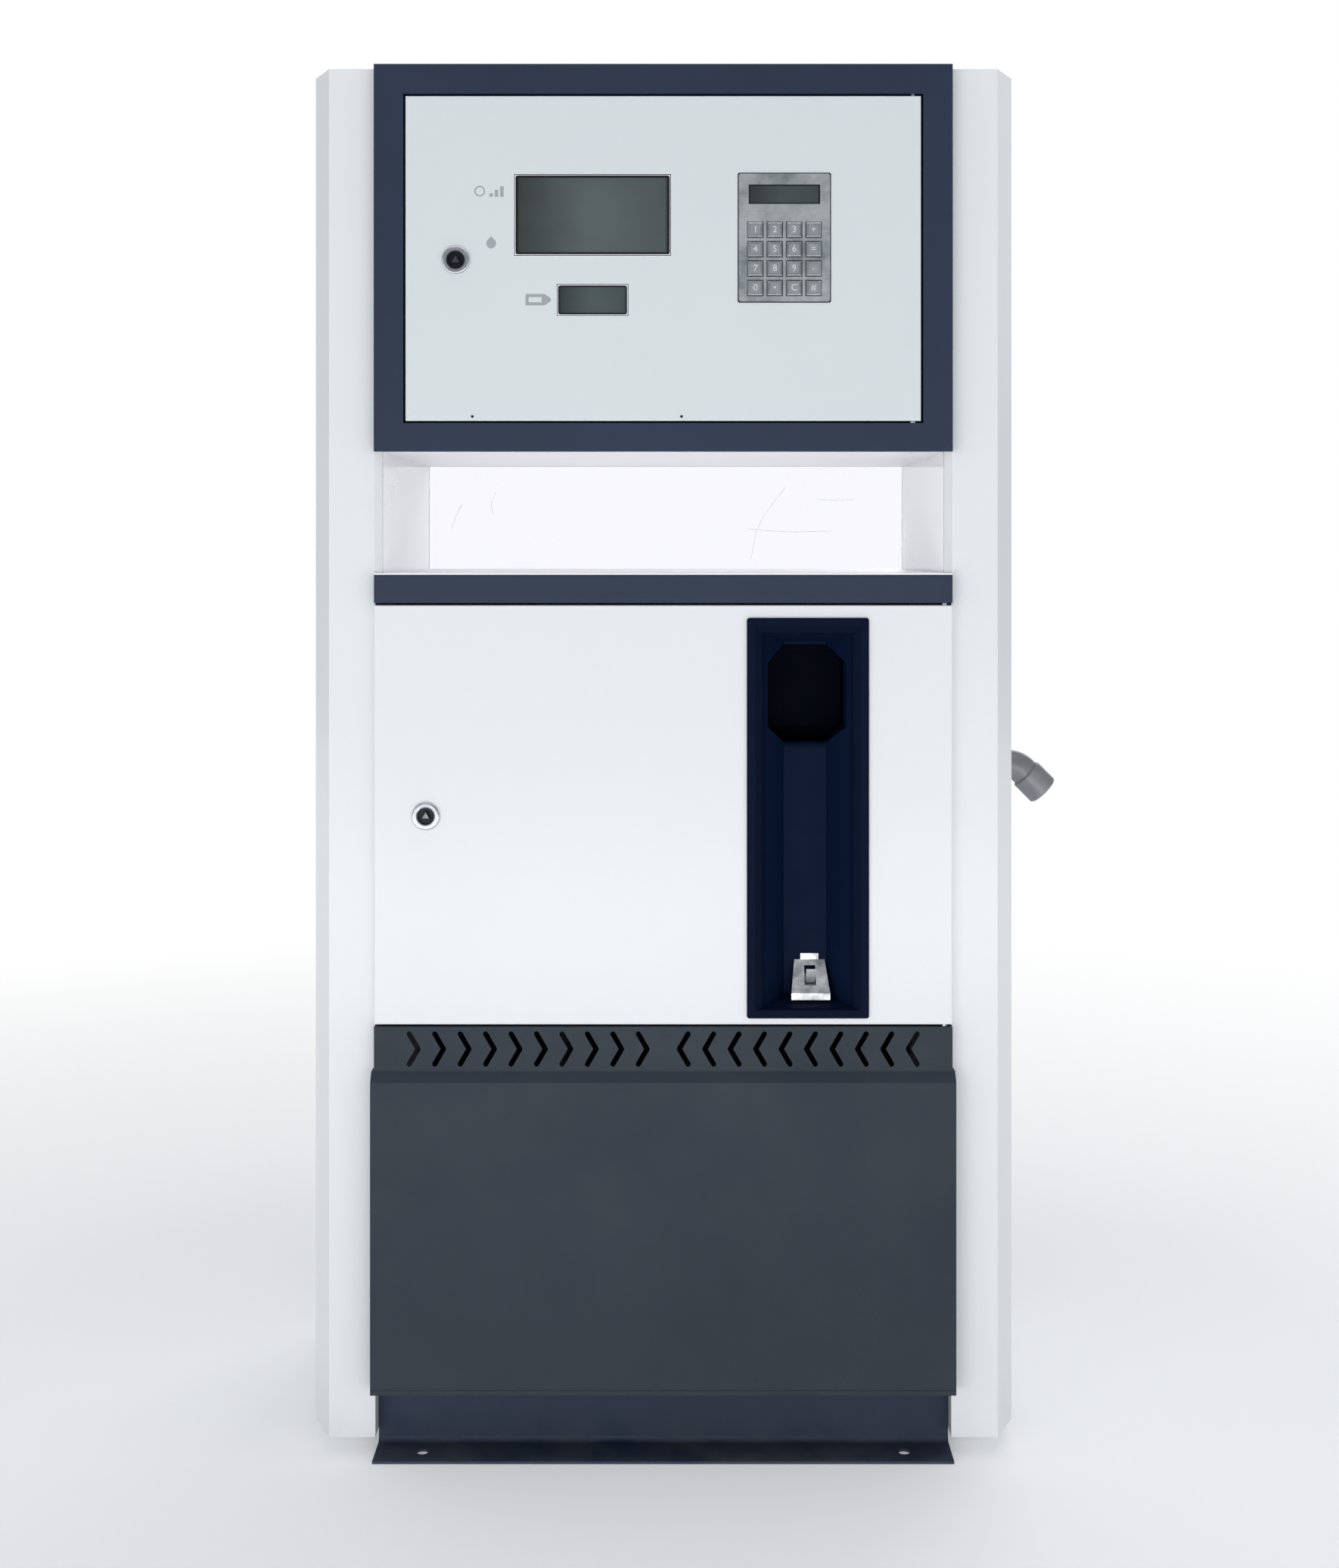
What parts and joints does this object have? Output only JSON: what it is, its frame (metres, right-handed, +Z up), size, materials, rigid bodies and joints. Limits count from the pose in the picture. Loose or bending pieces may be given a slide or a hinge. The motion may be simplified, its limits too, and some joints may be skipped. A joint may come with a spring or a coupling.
{
  "type": "fuel dispenser",
  "caption": "Free-standing single-hose fuel dispenser with electronic head, clear window, lockable cabinet door, nozzle boot and side hose outlet.",
  "frame": {"origin": "centre of the four floor anchor holes, on the floor, at the middle of the cabinet", "axes": "+Z up, +Y towards the back (the front faces -Y), +X to the right seen from the front"},
  "size_m": [0.8996, 0.49, 1.6],
  "materials": {
    "white_paint": "semi-gloss powder coat",
    "light_grey_paint": "semi-gloss powder coat",
    "slate_paint": "satin fine-texture powder coat",
    "navy_paint": "satin fine-texture powder coat",
    "machine_paint": "enamel",
    "clear_sheet": "clear, lightly scratched",
    "display_glass": "dark anti-glare",
    "black_plastic": "moulded, fine grain",
    "stainless": "brushed",
    "chrome": "polished",
    "zinc_steel": "zinc plated",
    "cast_iron": "painted casting",
    "cast_aluminium": "as cast",
    "brass": "machined",
    "belt_rubber": "fabric-backed rubber",
    "circuit_board": "solder mask"
  },
  "bodies": {
    "root": {"base_frame": "navy_paint", "left_post": "white_paint", "right_post": "white_paint", "lower_panel_front": "slate_paint", "lower_panel_rear": "slate_paint", "cross_rails": "navy_paint", "window_floor": "white_paint", "window_sides": "clear_sheet", "window_faces": "clear_sheet", "head_floor": "white_paint", "head_front_frame": "navy_paint", "head_cover": "navy_paint", "head_rear_cover": "navy_paint", "rear_cabinet_cover": "white_paint", "panel_screws": "zinc_steel", "hinge_pins": "zinc_steel", "pump_unit": "cast_iron", "motor": "machine_paint", "drive_belt": "belt_rubber", "suction_pipe": "cast_iron", "flow_meter": "cast_aluminium", "solenoid_valve": "brass", "delivery_pipes": "zinc_steel", "outlet_elbow": "cast_aluminium", "junction_box": "cast_aluminium", "control_box": "zinc_steel"},
    "head_door": {"head_door": "light_grey_paint", "main_display": "display_glass", "price_display": "display_glass", "display_boards": "circuit_board", "keypad_bezel": "stainless", "keypad_display": "display_glass", "head_lock_body": "chrome"},
    "cabinet_door": {"cabinet_door": "white_paint", "nozzle_boot": "black_plastic", "nozzle_hook": "stainless", "switch_housing": "black_plastic", "cabinet_lock_body": "chrome"},
    "head_lock": {"head_lock_core": "black_plastic"},
    "cabinet_lock": {"cabinet_lock_core": "black_plastic"},
    "boot_lever": {"switch_lever": "stainless"},
    "pump_wheel": {"pump_pulley": "cast_iron"},
    "motor_wheel": {"motor_pulley": "cast_iron"},
    "hose_nut": {"outlet_nut": "cast_aluminium"},
    "key_01": {"key_01": "stainless"},
    "key_02": {"key_02": "stainless"},
    "key_03": {"key_03": "stainless"},
    "key_04": {"key_04": "stainless"},
    "key_05": {"key_05": "stainless"},
    "key_06": {"key_06": "stainless"},
    "key_07": {"key_07": "stainless"},
    "key_08": {"key_08": "stainless"},
    "key_09": {"key_09": "stainless"},
    "key_10": {"key_10": "stainless"},
    "key_11": {"key_11": "stainless"},
    "key_12": {"key_12": "stainless"},
    "key_13": {"key_13": "stainless"},
    "key_14": {"key_14": "stainless"},
    "key_15": {"key_15": "stainless"},
    "key_16": {"key_16": "stainless"}
  },
  "joints": [
    {"name": "head_door_hinge", "type": "hinge", "parent": "root", "child": "head_door", "pos_m": [0.287, -0.224, 1.3765], "axis": [0, 0, 1], "range_deg": [0, 100]},
    {"name": "cabinet_door_hinge", "type": "hinge", "parent": "root", "child": "cabinet_door", "pos_m": [0.323, -0.224, 0.738], "axis": [0, 0, 1], "range_deg": [0, 100]},
    {"name": "head_lock_turn", "type": "hinge", "parent": "head_door", "child": "head_lock", "pos_m": [-0.238, -0.215, 1.3743], "axis": [0, -1, 0], "range_deg": [0, 90]},
    {"name": "cabinet_lock_turn", "type": "hinge", "parent": "cabinet_door", "child": "cabinet_lock", "pos_m": [-0.2723, -0.215, 0.7367], "axis": [0, -1, 0], "range_deg": [0, 90]},
    {"name": "boot_lever_pivot", "type": "hinge", "parent": "cabinet_door", "child": "boot_lever", "pos_m": [0.171, -0.184, 0.534], "axis": [1, 0, 0], "range_deg": [-25, 0], "stiffness_Nm_per_rad": 0.05, "springref_deg": 5.73},
    {"name": "pump_spin", "type": "hinge", "parent": "root", "child": "pump_wheel", "pos_m": [-0.12, -0.1085, 0.19], "axis": [0, 1, 0], "continuous": true},
    {"name": "motor_spin", "type": "hinge", "parent": "root", "child": "motor_wheel", "pos_m": [0.185, -0.1085, 0.108], "axis": [0, 1, 0], "continuous": true},
    {"name": "hose_nut_swivel", "type": "hinge", "parent": "root", "child": "hose_nut", "pos_m": [0.46499, 0, 0.75001], "axis": [0.7071, 0, -0.7071], "continuous": true},
    {"name": "key_01_press", "type": "slide", "parent": "head_door", "child": "key_01", "axis": [0, 1, 0], "range_m": [0, 0.0012], "stiffness_N_per_m": 800, "springref_m": -0.0005},
    {"name": "key_02_press", "type": "slide", "parent": "head_door", "child": "key_02", "axis": [0, 1, 0], "range_m": [0, 0.0012], "stiffness_N_per_m": 800, "springref_m": -0.0005},
    {"name": "key_03_press", "type": "slide", "parent": "head_door", "child": "key_03", "axis": [0, 1, 0], "range_m": [0, 0.0012], "stiffness_N_per_m": 800, "springref_m": -0.0005},
    {"name": "key_04_press", "type": "slide", "parent": "head_door", "child": "key_04", "axis": [0, 1, 0], "range_m": [0, 0.0012], "stiffness_N_per_m": 800, "springref_m": -0.0005},
    {"name": "key_05_press", "type": "slide", "parent": "head_door", "child": "key_05", "axis": [0, 1, 0], "range_m": [0, 0.0012], "stiffness_N_per_m": 800, "springref_m": -0.0005},
    {"name": "key_06_press", "type": "slide", "parent": "head_door", "child": "key_06", "axis": [0, 1, 0], "range_m": [0, 0.0012], "stiffness_N_per_m": 800, "springref_m": -0.0005},
    {"name": "key_07_press", "type": "slide", "parent": "head_door", "child": "key_07", "axis": [0, 1, 0], "range_m": [0, 0.0012], "stiffness_N_per_m": 800, "springref_m": -0.0005},
    {"name": "key_08_press", "type": "slide", "parent": "head_door", "child": "key_08", "axis": [0, 1, 0], "range_m": [0, 0.0012], "stiffness_N_per_m": 800, "springref_m": -0.0005},
    {"name": "key_09_press", "type": "slide", "parent": "head_door", "child": "key_09", "axis": [0, 1, 0], "range_m": [0, 0.0012], "stiffness_N_per_m": 800, "springref_m": -0.0005},
    {"name": "key_10_press", "type": "slide", "parent": "head_door", "child": "key_10", "axis": [0, 1, 0], "range_m": [0, 0.0012], "stiffness_N_per_m": 800, "springref_m": -0.0005},
    {"name": "key_11_press", "type": "slide", "parent": "head_door", "child": "key_11", "axis": [0, 1, 0], "range_m": [0, 0.0012], "stiffness_N_per_m": 800, "springref_m": -0.0005},
    {"name": "key_12_press", "type": "slide", "parent": "head_door", "child": "key_12", "axis": [0, 1, 0], "range_m": [0, 0.0012], "stiffness_N_per_m": 800, "springref_m": -0.0005},
    {"name": "key_13_press", "type": "slide", "parent": "head_door", "child": "key_13", "axis": [0, 1, 0], "range_m": [0, 0.0012], "stiffness_N_per_m": 800, "springref_m": -0.0005},
    {"name": "key_14_press", "type": "slide", "parent": "head_door", "child": "key_14", "axis": [0, 1, 0], "range_m": [0, 0.0012], "stiffness_N_per_m": 800, "springref_m": -0.0005},
    {"name": "key_15_press", "type": "slide", "parent": "head_door", "child": "key_15", "axis": [0, 1, 0], "range_m": [0, 0.0012], "stiffness_N_per_m": 800, "springref_m": -0.0005},
    {"name": "key_16_press", "type": "slide", "parent": "head_door", "child": "key_16", "axis": [0, 1, 0], "range_m": [0, 0.0012], "stiffness_N_per_m": 800, "springref_m": -0.0005}
  ],
  "couplings": [
    {"joint": "motor_spin", "follows": "pump_spin", "ratio": 2.3995}
  ]
}
